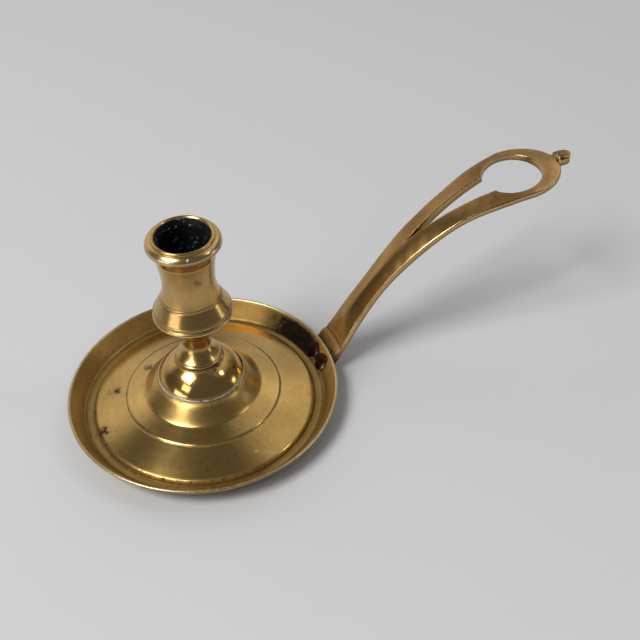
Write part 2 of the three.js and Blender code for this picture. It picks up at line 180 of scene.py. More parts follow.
finishSet = {  # in a range, i1 and i2 are the values that come in, i3 and i4 those that go out
    "patch": {"Detail": 5, "Roughness": .62}, "mottle": {"Detail": 6, "Roughness": .7},
    "mark": {"Detail": 3, "Roughness": .6}, "fileMark": {"Rotation": (.1, .5, .1), "Scale": (.16, 1, .6)},
    "dull": {"i1": .36, "i2": .68}, "uneven": {"i1": .3, "i2": .7, "i3": .25, "i4": 1.25},
    "filmNoise": {"i1": .3, "i2": .7, "i3": .7, "i4": 1.15}, "crumbs": {"i1": .38, "i2": .56},
    "pitDot": {"i1": .06, "i2": .2, "i3": 1, "i4": 0}, "pitSpread": .15, "fineShade": {"i1": .5, "i2": .75, "i3": 0},
    "spotRagged": .004, "spotFull": .0021, "spotEnd": .0028,  # in m for each mm of the spot's size
    "fleck": {"i1": .6, "i2": .66}, "sootRagged": .9, "burnt": {"i1": .85, "i2": 1.05}, "grimeCover": .7,
    "filmRough": .14, "satinRough": .2, "coverRough": .4, "dirtGloss": .2, "axisTurn": .25,
    "markStep": .0002, "mottleStep": .0003}


def brassFinish(name, look):  # warm metal: bright and dull patches, film and dirt in hollows, rubbed edges, fine marks; its layers also carry painted shade and painted highlights
    s = finishSet
    blend, times, timesAdd = {"data_type": "RGBA"}, {"operation": "MULTIPLY"}, {"operation": "MULTIPLY_ADD"}
    larger = {"operation": "MAXIMUM"}
    material = bpy.data.materials.new(name)
    material.use_nodes = True
    tree = material.node_tree
    tree.nodes.clear()
    place = addNode(tree, "ShaderNodeTexCoord", 3)
    centred = addNode(tree, "ShaderNodeMapping", Vector=place, Location=(-axisX, 0, 0))
    if look["turned"]:  # the lathe's marks run round the axis
        flat = addNode(tree, "ShaderNodeMapping", Vector=centred, Scale=(1, 1, 0))
        radius = addNode(tree, "ShaderNodeVectorMath", 1, {"operation": "LENGTH"}, i0=flat)
        x, y, z = addNode(tree, "ShaderNodeSeparateXYZ", i0=centred).node.outputs
        angle = addNode(tree, "ShaderNodeMath", 0, {"operation": "ARCTAN2"}, i0=y, i1=x)
        slowAngle = addNode(tree, "ShaderNodeMath", 0, times, i0=angle, i1=look["markRunMm"] * mm)
        markPlace = addNode(tree, "ShaderNodeCombineXYZ", X=radius, Y=z, Z=slowAngle)
    else:  # the file's marks run along the piece
        markPlace = addNode(tree, "ShaderNodeMapping", Vector=centred, **s["fileMark"])
    patches = addNode(tree, "ShaderNodeTexNoise", Vector=centred, Scale=1000 / look["patchMm"], **s["patch"])
    mottle = addNode(tree, "ShaderNodeTexNoise", Vector=centred, Scale=1000 / look["mottleMm"], **s["mottle"])
    marks = addNode(tree, "ShaderNodeTexNoise", Vector=markPlace, Scale=1000 / look["markMm"], **s["mark"])
    dull = addNode(tree, "ShaderNodeMapRange", Value=patches, **s["dull"])
    uneven = addNode(tree, "ShaderNodeMapRange", Value=mottle, **s["uneven"])
    filmNoise = addNode(tree, "ShaderNodeMapRange", Value=patches, **s["filmNoise"])
    crumbs = addNode(tree, "ShaderNodeMapRange", Value=mottle, **s["crumbs"])
    layers = {layer: addNode(tree, "ShaderNodeAttribute", 2, {"attribute_name": layer})
              for layer in ("film", "grime", "wear", "residue", "soot", "satin")}
    noises = {"film": filmNoise, "grime": uneven, "wear": uneven, "residue": crumbs}
    amounts = {layer: addNode(tree, "ShaderNodeMath", 0, dict(times, use_clamp=True), i0=layers[layer], i1=noise)
               for layer, noise in noises.items()}
    cells = addNode(tree, "ShaderNodeTexVoronoi", Vector=centred, Scale=1000 / look["pitMm"]).node
    pitDot = addNode(tree, "ShaderNodeMapRange", Value=cells.outputs["Distance"], **s["pitDot"])
    pitSome = addNode(tree, "ShaderNodeMapRange", Value=cells.outputs["Color"],
                      i1=look["pitFrom"], i2=look["pitFrom"] + s["pitSpread"])
    pits = addNode(tree, "ShaderNodeMath", 0, times, i0=pitDot, i1=pitSome)
    pitShade = addNode(tree, "ShaderNodeMath", 0, times, i0=pits, i1=look["pitShare"])
    fineShade = addNode(tree, "ShaderNodeMapRange", Value=mottle, i4=look["mottleShare"], **s["fineShade"])
    colour = addNode(tree, "ShaderNodeMix", 2, blend, i0=dull, i6=look["bright"], i7=look["dull"])
    for amount, shade in ((fineShade, "film"), (amounts["film"], "film"), (amounts["wear"], "wear"),
                          (pitShade, "grime"), (amounts["grime"], "grime"), (amounts["residue"], "residue")):
        colour = addNode(tree, "ShaderNodeMix", 2, blend, i0=amount, i6=colour, i7=look[shade])
    cover = addNode(tree, "ShaderNodeMath", 0, times, i0=amounts["grime"], i1=s["grimeCover"])
    cover = addNode(tree, "ShaderNodeMath", 0, larger, i0=cover, i1=amounts["residue"])
    for spot in look["spots"]:
        away = addNode(tree, "ShaderNodeVectorMath", 1, {"operation": "DISTANCE"}, i0=centred,
                       i1=tuple(v * mm for v in spot["at"]))
        ragged = addNode(tree, "ShaderNodeMath", 0, timesAdd, i0=mottle, i1=spot["mm"] * s["spotRagged"], i2=away)
        amount = addNode(tree, "ShaderNodeMapRange", Value=ragged, i1=spot["mm"] * s["spotFull"],
                         i2=spot["mm"] * s["spotEnd"], i3=spot["share"], i4=0)
        colour = addNode(tree, "ShaderNodeMix", 2, blend, i0=amount, i6=colour, i7=spot["colour"])
        cover = addNode(tree, "ShaderNodeMath", 0, larger, i0=cover, i1=amount)
    flecks = addNode(tree, "ShaderNodeMapRange", Value=mottle, **s["fleck"])
    black = addNode(tree, "ShaderNodeMix", 2, blend, i0=flecks, i6=look["soot"], i7=look["fleck"])
    ragged = addNode(tree, "ShaderNodeMath", 0, timesAdd, i0=mottle, i1=s["sootRagged"], i2=layers["soot"])
    burnt = addNode(tree, "ShaderNodeMapRange", Value=ragged, **s["burnt"])
    colour = addNode(tree, "ShaderNodeMix", 2, blend, i0=burnt, i6=colour, i7=black)
    cover = addNode(tree, "ShaderNodeMath", 0, larger, i0=cover, i1=burnt)
    metallic = addNode(tree, "ShaderNodeMath", 0, {"operation": "SUBTRACT", "use_clamp": True}, i0=1.0, i1=cover)
    roughness = addNode(tree, "ShaderNodeMapRange", Value=dull, i3=look["rough"][0], i4=look["rough"][1])
    for amount, gain in ((marks, look["markGloss"]), (amounts["film"], s["filmRough"]),
                         (layers["satin"], s["satinRough"]), (cover, s["coverRough"])):
        roughness = addNode(tree, "ShaderNodeMath", 0, dict(timesAdd, use_clamp=True),
                            i0=amount, i1=gain, i2=roughness)
    bump = addNode(tree, "ShaderNodeBump", Height=marks, Strength=look["markDepth"], Distance=s["markStep"])
    bump = addNode(tree, "ShaderNodeBump", Height=mottle, Strength=look["mottleDepth"],
                   Distance=s["mottleStep"], Normal=bump)
    around = addNode(tree, "ShaderNodeTangent", 0, {"direction_type": "RADIAL", "axis": "Z"})
    shader = addNode(tree, "ShaderNodeBsdfPrincipled", Base_Color=colour, Metallic=metallic, Roughness=roughness,
                     Normal=bump, Specular_IOR_Level=s["dirtGloss"], Anisotropic=look["streak"],
                     Anisotropic_Rotation=s["axisTurn"], Tangent=around)  # its marks draw a light out along the axis
    addNode(tree, "ShaderNodeOutputMaterial", Surface=shader)
    return material


# drip pan

panShape = {"radius": 60, "height": 10.3, "sheet": 1.3, "lean": 35, "channel": 3.9, "shoulder": (.6, 2.35),
            "fillets": (.8, .8, 2), "hole": 3.3, "seat": (17.8, 18.25), "toe": (26.2, 10.77), "step": (33.4, 8.4),
            "floor": (33.9, 8.05), "ease": 2.4, "groove": .14, "grooveAway": .45, "grooveWidth": .22, "thin": .805,
            "thinFrom": (50.8, 53), "turns": 224, "crease": 40, "waver": .09, "driftFrom": (30, 60),
            "drift": ((.6, 2, 1.9), (.5, 4, .3), (.35, 7, 2.7)), "liftOut": (52, 60), "liftUp": (2, 9),
            "lift": ((.5, 2, .6), (.6, 3, 2.1), (.4, 5, 4.4)), "sag": .5, "sagTurn": 60, "sagRun": 15,
            "sagEnd": (48.8, 50)}
panAge = {"dirtRings": ((49.9, .35, .5), (53.1, .5, .4), (34.3, .3, .7), (19.2, .7, .6)), "underDirt": .3,
          "channel": (49, 49.8, 53.2, 54), "channelFilm": .48, "cornerFilm": (53, .7, .5), "underFilm": .4,
          "wall": (52.5, 54), "rim": 59, "rootWall": (52.5, 53.5, 57.4, 59), "rootArc": (0, 12, 18, 44),
          "rootDirt": 1.9, "rootFilm": .6, "filmArc": (18, 40, 62, 84), "wallFilm": .65, "edgeDirt": (48.8, .6, .9),
          "rubbedArc": (-52, 22, .9), "satinFrom": (27, 25), "satin": .6, "rimWear": .8, "rimWearUp": (9.4, 10.2),
          "rimWearOut": 57, "stepWear": (33.3, .3, .5)}
panSpots = [
    {"at": (-47.5, -1.9, 3.8), "mm": 4.6, "share": .95, "colour": "#120e0a"},
    {"at": (-46, -.2, 4.3), "mm": 1.8, "share": .9, "colour": "#15110c"},
    {"at": (-36.2, 17, 6.5), "mm": 4.2, "share": .95, "colour": "#15110c"},
    {"at": (-38.6, 17.6, 5.6), "mm": 1.6, "share": .8, "colour": "#1d1710"},
    {"at": (-18.6, 21, 10.9), "mm": 3.8, "share": .85, "colour": "#2c251d"},
    {"at": (8.5, -41.8, 5.6), "mm": 1.5, "share": .25, "colour": "#d8c9a0"},
    {"at": (11.4, -43.4, 4.8), "mm": 1.8, "share": .25, "colour": "#d8c9a0"},
    {"at": (14, -44.2, 4.2), "mm": 1.4, "share": .2, "colour": "#d8c9a0"},
]
panLook = {"bright": "#ceaa65", "dull": "#b89656", "wear": "#e9d6ac", "film": "#6a5228", "grime": "#241a0d",
           "residue": "#c9c5b2", "soot": "#030304", "fleck": "#8a96a3", "patchMm": 26, "mottleMm": 2.4,
           "mottleShare": .3, "mottleDepth": .05, "turned": True, "markMm": 1.3, "markRunMm": 1.2, "markDepth": .04,
           "markGloss": .05, "pitMm": 3.4, "pitFrom": .62, "pitShare": .5, "rough": (.12, .2), "streak": .3,
           "spots": panSpots}


def wallRadius(height, outside=0):  # middle of the leaning wall at a height, moved out square to it
    lean = radians(panShape["lean"])
    half = panShape["sheet"] / 2
    return panShape["radius"] - half - (panShape["height"] - half - height) * np.tan(lean) + outside / np.cos(lean)


def panProfile():  # middle line of the sheet, moved half a sheet to both sides, with a half-round rim
    s = panShape
    half = s["sheet"] / 2
    rim = np.array([s["radius"] - half, s["height"] - half])
    outer = np.array([wallRadius(half), half])
    inner = outer - (s["channel"], 0)
    shoulder = inner + (-s["shoulder"][0], s["shoulder"][1])
    slope = (s["toe"][1] - s["step"][1]) / (s["step"][0] - s["toe"][0])
    ogee = bezier([s["seat"], (s["seat"][0] + s["ease"], s["seat"][1]),
                   (s["toe"][0] - s["ease"], s["toe"][1] + slope * s["ease"]), s["toe"]], 36)
    channel = roundedLine([s["floor"], shoulder, inner, outer, rim], s["fillets"], 9)
    floorShare = np.concatenate([np.linspace(0, .08, 12), np.linspace(.08, 1, 22)[1:-1]])[:, None]  # fine at the groove
    floorLine = channel[:1] + (channel[1:2] - channel[:1]) * floorShare
    wallLine = np.linspace(channel[-2], rim, 18)[1:]
    plateau = np.linspace(s["toe"], s["step"], 12)[1:]
    stepLine = np.linspace(s["step"], s["floor"], 6)[1:-1]
    middle = np.vstack([np.linspace((s["hole"], s["seat"][1]), s["seat"], 12)[:-1], ogee, plateau, stepLine,
                        floorLine, channel[1:-1], wallLine])
    step = np.diff(middle, axis=0)
    step /= np.linalg.norm(step, axis=1)[:, None]
    arrive, leave = np.vstack([step[:1], step]), np.vstack([step, step[-1:]])
    along = arrive + leave
    along /= np.linalg.norm(along, axis=1)[:, None]
    across = np.stack([-along[:, 1], along[:, 0]], -1) * (half / (along * arrive).sum(1))[:, None]
    tilt = np.arctan2(across[-1, 1], across[-1, 0]) - np.linspace(0, np.pi, 14)[1:-1]
    cap = rim + half * np.stack([np.cos(tilt), np.sin(tilt)], -1)
    top = middle + across
    top[:, 1] -= s["groove"] * hump(top[:, 0], s["floor"][0] + s["grooveAway"], s["grooveWidth"])  # at the step's foot
    depth = np.clip((s["height"] - half / 2 - top[:, 1]) / s["height"], 0, 1)
    top[:, 0] += s["thin"] * depth * smooth(*s["thinFrom"], top[:, 0])  # the wall is drawn thinner towards its foot
    return np.vstack([top, cap, (middle - across)[::-1]]), len(middle)


def panWarp(r, z, a):  # a hand-raised sheet is never quite round or flat, and its floor sags towards one side
    s = panShape
    drift = s["waver"] * smooth(*s["driftFrom"], r) * waves(a, s["drift"])
    lift = s["waver"] * smooth(*s["liftOut"], r) * smooth(*s["liftUp"], z) * waves(a, s["lift"])
    floorOut = np.clip((r - s["floor"][0]) / s["sagRun"], 0, 1) * (1 - smooth(*s["sagEnd"], r))
    return r + drift, z + lift + s["sag"] * floorOut * np.cos(a - radians(s["sagTurn"]))


profile, panTop = panProfile()
r, z = profile.T
upper = np.arange(len(r)) < panTop
turnsOf = (panShape["turns"], 1)
turn = np.roll(np.linspace(-180, 180, panShape["turns"], endpoint=False), panShape["turns"] // 2)[:, None]
onWall = upper * smooth(*panAge["wall"], r) * (r < panAge["rim"])
rootDirt = upper * between(r, *panAge["rootWall"]) * between(turn, *panAge["rootArc"])  # painted shade: a dark patch on the wall by the handle
edgeDirt = upper * hump(r, *panAge["edgeDirt"]) * (1 - hump(turn, *panAge["rubbedArc"]))  # darker round the floor's rolled edge, except on one arc
panGrime = upper * humps(r, panAge["dirtRings"]) + ~upper * panAge["underDirt"]  # in the corners and all over the back; the ring at the step's foot is painted shade
panGrime = panGrime + panAge["rootDirt"] * rootDirt + edgeDirt
panFilm = upper * (panAge["channelFilm"] * between(r, *panAge["channel"]) + hump(r, *panAge["cornerFilm"]))
# the patch by the handle is browned as well, as part of the same painted shade
panFilm = panFilm + ~upper * panAge["underFilm"] + panAge["rootFilm"] * rootDirt
panFilm = panFilm + panAge["wallFilm"] * onWall * between(turn, *panAge["filmArc"])  # browner left of the handle: tarnish film and painted shade
panSatin = upper * panAge["satin"] * smooth(*panAge["satinFrom"], r) + onWall  # softer by the foot and on the wall
panWear = panAge["rimWear"] * smooth(*panAge["rimWearUp"], z) * (r > panAge["rimWearOut"])
# painted highlight: a pale ring along the step's edge, added to the rim's wear
panWear = panWear + upper * hump(r, *panAge["stepWear"])
points = lathe(profile, panShape["turns"], panWarp)
panBrass = brassFinish("raised_polished_brass", panLook)  # satin gold sheet, brown in the channel, bright along the rim
makePiece("pan", points, gridFaces(*points.shape[:2], True, True), panBrass, "drip_pan", "pan_brass",
          panShape["crease"], grime=panGrime, film=panFilm, wear=np.tile(panWear, turnsOf),
          satin=np.tile(panSatin, turnsOf))


# stem foot and candle socket

footShape = {"bottom": 19.2, "radius": 18.9, "band": 1.1, "height": 9.8, "top": 10, "crown": .9, "hole": 3.3,
             "inset": .25, "edgeRuns": (.2, .3), "turns": 160, "crease": 40}
footAge = {"edge": 17, "edgeWear": (.6, .6, 1.3), "paleEdge": 18.2, "pale": (.35, .4, 3), "topFrom": 25,
           "topDirt": (10.3, .5, .9), "seatDirt": (-.1, .3, .8), "edgeDirt": (1.5, .3, .7)}
socketShape = {"bottom": 29.3, "tenon": 3, "tenonLength": 19.5, "chamfer": .6, "ring": (9.8, .7, 1.45), "neck": 5.5,
               "trumpet": 4.6, "neckHeight": 4.4, "cove": 12.8, "base": (16.8, .9, 2.6), "bead": (16.4, .5, 1.9),
               "skirt": (12.75, 5.7), "lowerFlare": 6.5, "waist": 3.5, "upperFlare": 11.5,
               "mouthCove": (12.5, 5.5, .34), "hollow": .22, "bore": 9.9, "boreDepth": 30, "boreFrom": 1, "wall": 1.1,
               "bulge": (5.6, 2.9, 1.9), "lip": (3.1, 1.1), "mouth": (1.5, 3.2), "lines": (34.9, 35.9, 56.4, 62.35),
               "lineDepth": .16, "lineWidth": .28, "turns": 144, "crease": 40}
socketAge = {"lineDirt": (.3, .55), "dirtRings": ((30.8, .25, .8), (29.4, .3, .7), (56.5, .5, .6), (58.2, .4, .5)),
             "wearRings": ((30.1, .4, .6), (55.3, .8, .6), (92.5, 1.6, .5)), "soot": (12.3, 10.6), "sootFrom": 60,
             "lipFrom": 93}
turnedLook = dict(panLook, bright="#cfab69", dull="#b3915b", patchMm=20, mottleMm=1.8, mottleShare=.22, markMm=.9,
                  rough=(.1, .17), pitMm=4, pitFrom=.7, streak=0, spots=[])
footLook = dict(turnedLook, bright="#cfa964", dull="#b99455", wear="#d2cdbd", residue="#e2e2da", spots=[
    {"at": (3.2, -10.8, 28.2), "mm": 2.8, "share": .95, "colour": "#0d0b09"},
    {"at": (5, -9.4, 28.7), "mm": 2.2, "share": .9, "colour": "#0d0b09"},
])
socketLook = dict(turnedLook, rough=(.18, .25), streak=.5, spots=[
    {"at": (.5, -11, 78.4), "mm": 2.4, "share": .95, "colour": "#120d08"},
    {"at": (-2.9, -14.2, 93.5), "mm": .9, "share": .95, "colour": "#f4efe4"},
])


def footProfile():  # low dome with a thin upright edge
    s = footShape
    slope = np.array([s["top"] - s["radius"], s["height"] - s["band"]])
    out = np.array([slope[1], -slope[0]]) / np.linalg.norm(slope) * 2 * s["crown"]
    dome = bezier([(s["radius"] - s["inset"], s["band"]), (s["radius"], s["band"]) + slope / 2 + out,
                   (s["top"], s["height"])], 40)
    edge = roundedLine([(s["hole"], 0), (s["radius"], 0), (s["radius"], s["band"]), dome[0]], s["edgeRuns"])
    line = np.vstack([edge[:-1], dome, [(s["hole"], s["height"])]])
    return line + (0, s["bottom"])


def socketProfile():  # tenon, double ring, neck, base beads, waisted cup, mouth and bore, from the axis to the axis
    s = socketShape
    z = 0
    parts = [[(0, -s["tenonLength"]), (s["tenon"] - s["chamfer"], -s["tenonLength"]),
              (s["tenon"], s["chamfer"] - s["tenonLength"]), (s["tenon"], 0)]]

    def bead(size, steps):
        nonlocal z
        radius, swell, height = size
        curve = [(radius - swell, z), (radius + swell, z + height / 2), (radius - swell, z + height)]
        parts.append(bezier(curve, steps))
        z += height

    def hollow(start, end, narrow, height, steps, share=s["hollow"]):
        nonlocal z
        control = narrow + share * (max(start, end) - narrow)
        parts.append(bezier([(start, z), (control, z + height / 2), (end, z + height)], steps))
        z += height

    bead(s["ring"], 14)
    bead(s["ring"], 14)
    hollow(s["ring"][0] - s["ring"][1], s["neck"], s["neck"], s["trumpet"], 26)
    z += s["neckHeight"]
    hollow(s["neck"], s["base"][0] - s["base"][1], s["neck"], s["cove"], 30)
    bead(s["base"], 20)
    bead(s["bead"], 16)
    waist = s["bore"] + s["wall"]
    wide = s["bore"] + s["bulge"][0]
    skirtRadius, skirtHeight = s["skirt"]
    parts.append(np.linspace((s["bead"][0] - s["bead"][1], z), (skirtRadius, z + skirtHeight), 30))
    z += skirtHeight
    hollow(skirtRadius, waist, waist, s["lowerFlare"], 50)
    z += s["waist"]
    hollow(waist, s["mouthCove"][0], waist, s["upperFlare"], 60)
    hollow(s["mouthCove"][0], wide, s["mouthCove"][0], s["mouthCove"][1], 40, s["mouthCove"][2])
    top = z + s["bulge"][1]
    lip = s["bore"] + s["lip"][0]
    lipTop = top + s["lip"][1]
    mouth = s["bore"] + s["mouth"][0]
    mouthEnd = lipTop - s["mouth"][1]
    boreEnd = lipTop - s["boreDepth"]
    parts.append(bezier([(wide, z), (wide, top - s["bulge"][1] / 3), (wide - s["bulge"][2], top)], 20))
    parts.append(bezier([(lip, top), (lip, lipTop), ((lip + mouth) / 2, lipTop)], 14))
    parts.append(bezier([((lip + mouth) / 2, lipTop), (mouth, lipTop), (s["bore"], mouthEnd)], 18))
    parts.append(np.linspace((s["bore"], mouthEnd - s["boreFrom"]), (s["bore"], boreEnd), 22))
    parts.append(np.linspace((s["bore"], boreEnd), (0, boreEnd), 10)[1:])
    line = np.vstack(parts)
    outside = np.arange(len(line)) < sum(map(len, parts[:-3]))
    for height in s["lines"]:
        line[:, 0] -= outside * s["lineDepth"] * hump(line[:, 1], height, s["lineWidth"])
    return line + (0, s["bottom"]), outside


profile = footProfile()
r, z = profile.T
points = lathe(profile, footShape["turns"])
turnsOf = (footShape["turns"], 1)
up = z - footShape["bottom"]
onEdge = r > footAge["edge"]
# a pale band and a paler line round the foot's edge
footWear = hump(up, *footAge["edgeWear"]) * onEdge
footPale = hump(up, *footAge["pale"]) * (r > footAge["paleEdge"])
footGrime = hump(r, *footAge["topDirt"]) * (z > footAge["topFrom"])
footGrime = footGrime + hump(up, *footAge["seatDirt"]) + hump(up, *footAge["edgeDirt"]) * onEdge
footBrass = brassFinish("turned_brass_foot", footLook)  # clear gold dome, a pale line round its edge
makePiece("foot", points, gridFaces(*points.shape[:2], True, True), footBrass, "stem_foot", "turned_brass",
          footShape["crease"], grime=np.tile(footGrime, turnsOf), wear=np.tile(footWear, turnsOf),
          residue=np.tile(footPale, turnsOf))
profile, outside = socketProfile()
r, z = profile.T
points = lathe(profile, socketShape["turns"])
turnsOf = (socketShape["turns"], 1)
lines = sum(hump(z - socketShape["bottom"], height, *socketAge["lineDirt"]) for height in socketShape["lines"])
socketGrime = outside * (lines + humps(z, socketAge["dirtRings"]))
socketWear = outside * humps(z, socketAge["wearRings"])
belowLip = outside & (z < socketAge["lipFrom"])
soot = smooth(*socketAge["soot"], r) * (z > socketAge["sootFrom"]) * ~belowLip  # in the bore and over the mouth's edge
socketBrass = brassFinish("turned_brass_socket", socketLook)  # satin gold with upright streaks of light, black bore
makePiece("socket", points, gridFaces(*points.shape[:2], True), socketBrass, "candle_socket", "turned_brass",
          socketShape["crease"], grime=np.tile(socketGrime, turnsOf), wear=np.tile(socketWear, turnsOf),
          soot=np.tile(soot, turnsOf))


# handle

handleShape = {"gap": .95, "pad": 3.3, "padHalf": 8.5, "padFoot": 1.8, "padTop": 12.6, "rootHeight": 8.9,
               "rootAngle": 57.7, "rootPull": 76.6, "tip": (182.4, 76.4), "tipAngle": .8, "tipPull": 42.1,
               "ledgeAt": 4, "padStart": -18, "fine": (2.4, 5.8), "waist": (34, 6.9), "slotAt": 59.3, "fork": 8.85,
               "cheek": (24, 11.3), "shoulder": (-15.5, 15), "loopHalf": 17.2, "loopEnd": 21, "hole": 13.3,
               "holeBack": 1.7, "lagEnd": .87, "slotMouth": 5.9, "knob": 7, "knobHalf": 3.5, "knobRise": 2.5,
               "knobRound": .35, "knobStart": (-.3, .5), "knobFall": (.35, 2, 7), "knobRoll": .95, "edge": 2.4,
               "crown": 1.7, "loopCrown": .9, "crownSink": 55.5, "ridge": .5, "crownFull": 20, "outerRound": .6,
               "outerRun": 12, "innerRound": .4, "innerRun": 8, "chips": .55, "chipSpan": (20, 34, 42, 48),
               "chipWaves": ((1, 2.6, 0), (.8, 4.3, 1)), "groove": .35, "grooveWidths": (.5, .45), "waver": .03,
               "ripples": ((1, .31, .2, 0), (1, .17, -.35, 1), (.6, .83, .6, 2)), "rippleFrom": (5, 12), "bowRun": 10,
               "crease": 42}
handleAge = {"outerWear": .8, "outerFade": .7, "outerFrom": (2, 8), "innerWear": .6, "innerFade": .5,
             "innerFrom": (6, 20), "padWear": .5, "padFade": .4, "padBand": (0, 3), "ledgeDirt": (.4, .45),
             "knobDirt": (.5, .35), "footDirt": .9, "footFrom": (-.8, -1.8), "underDirt": .3, "underShare": .4,
             "rootFilm": .35, "rootFrom": (6, 2), "loopFilm": .35, "loopFrom": (38, 58), "knobFilm": .5,
             "underFilm": .5, "knobPale": (.4, .5), "satin": .7, "satinFrom": (26, 8), "patina": .6,
             "patinaSpan": (-8, 12, 44, 58), "tarnish": .25, "tarnishSpan": (14, 28, 70, 96)}
handleLook = dict(panLook, bright="#b9925b", dull="#9d7843", wear="#e2c68e", film="#7d5c36", grime="#22190f",
                  residue="#a9ac98", patchMm=16, mottleMm=2, mottleShare=.45, mottleDepth=.06, turned=False,
                  markMm=1.6, markDepth=.08, markGloss=.08, pitMm=4.2, pitFrom=.7, rough=(.12, .18), streak=0,
                  spots=[])


def handleTables():  # along the handle: place of the back, direction to the top, height of the top's edge
    s = handleShape
    root = np.array([wallRadius(s["rootHeight"], s["gap"] + s["pad"]), s["rootHeight"]])
    tip = np.array(s["tip"])
    angles = radians(s["rootAngle"]), radians(s["tipAngle"])
    rise, end = (np.array([np.cos(angle), np.sin(angle)]) for angle in angles)
    back = bezier([root, root + rise * s["rootPull"], tip - end * s["tipPull"], tip], 4000)
    length = alongLine(back)[-1]
    at = np.linspace(s["ledgeAt"], length, 900)
    strap = atShare(back, at / length)
    tangent = np.gradient(strap, axis=0)
    tangent /= np.linalg.norm(tangent, axis=1)[:, None]
    normal = np.stack([-tangent[:, 1], tangent[:, 0]], -1)
    ledge = strap[0] + normal[0] * s["edge"]
    corner = (wallRadius(s["padTop"], s["gap"]), s["padTop"])
    inFoot, outFoot = ((wallRadius(s["padFoot"], s["gap"] + out), s["padFoot"]) for out in (0, s["pad"]))
    share = np.linspace(0, 1, 240)[:-1]
    padTop = atShare(roundedLine([inFoot, corner, ledge], [.5]), share)
    padBack = atShare(np.array([outFoot, root, strap[0]]), share)
    reach = padTop - padBack
    height = np.linalg.norm(reach, axis=1)
    return {"u": np.concatenate([s["padStart"] + share * (s["ledgeAt"] - s["padStart"]), at]),
            "back": np.vstack([padBack, strap]), "up": np.vstack([reach / height[:, None], normal]),
            "top": np.concatenate([height, np.full(len(at), s["edge"])]), "length": length}


def handlePlan(length):  # half plan: pairs of points on the inner and outer edge, from the pad to the knob's end
    s = handleShape
    loopEnd = length - s["knob"]
    loopAt = loopEnd - s["loopEnd"]
    holeAt = loopAt - s["holeBack"]
    outline = throughPoints([(0, s["padHalf"]), s["waist"], (s["slotAt"], s["fork"]),
                             (s["slotAt"] + s["cheek"][0], s["cheek"][1]),
                             (loopAt + s["shoulder"][0], s["shoulder"][1]), (loopAt, s["loopHalf"])], 60)
    turn = np.linspace(np.pi / 2, np.arcsin(s["knobHalf"] / s["loopHalf"]), 120)[1:]
    bend = np.stack([loopAt + s["loopEnd"] * np.cos(turn), s["loopHalf"] * np.sin(turn)], -1)
    outline = np.vstack([outline, bend])  # half width along the handle
    knobTurn = np.linspace(np.pi / 2, 0, 24)
    knobBend = np.stack([length - s["knobHalf"] * (1 - np.cos(knobTurn)), s["knobHalf"] * np.sin(knobTurn)], -1)
    knob = np.vstack([bend[-1:], knobBend])
    knobShare = np.linspace(0, 1, 34)[1:]
    cusp = np.pi - np.arcsin(s["slotMouth"] / s["hole"])
    mouthAt = holeAt + s["hole"] * np.cos(cusp)
    fineStart, fineEnd = s["fine"]  # points lie closer round the ledge
    strapU = np.concatenate([np.linspace(s["padStart"], 0, 24), np.linspace(0, fineStart, 10)[1:],
                             np.linspace(fineStart, fineEnd, 24)[1:], np.linspace(fineEnd, s["slotAt"], 90)[1:]])
    slotU = np.linspace(s["slotAt"], mouthAt, 64)[1:]
    slotHalf = s["slotMouth"] * (slotU - s["slotAt"]) / (mouthAt - s["slotAt"])
    turn = np.linspace(cusp, np.arctan2(bend[-1, 1], bend[-1, 0] - holeAt), 110)[1:]
    lag = np.clip((turn - s["lagEnd"]) / (cusp - s["lagEnd"]), 0, 1)
    across = np.arctan2(np.interp(mouthAt, *outline.T), mouthAt - holeAt)
    outTurn = turn - (cusp - across) * lag ** 2
    bearing = np.arctan2(outline[:, 1], outline[:, 0] - holeAt)
    order = np.argsort(bearing)
    loopOut = np.stack([np.interp(outTurn, bearing[order], outline[order, i]) for i in (0, 1)], -1)
    holeTurn = np.concatenate([turn, turn[-1] * (1 - knobShare)])
    hole = np.stack([holeAt + s["hole"] * np.cos(holeTurn), s["hole"] * np.sin(holeTurn)], -1)
    inner = np.vstack([np.stack([strapU, 0 * strapU], -1), np.stack([slotU, slotHalf], -1), hole])
    straight = np.concatenate([strapU, slotU])
    outer = np.vstack([np.stack([straight, np.interp(straight, *outline.T)], -1), loopOut, atShare(knob, knobShare)])
    return inner, outer, outline, len(strapU) - 1, loopEnd


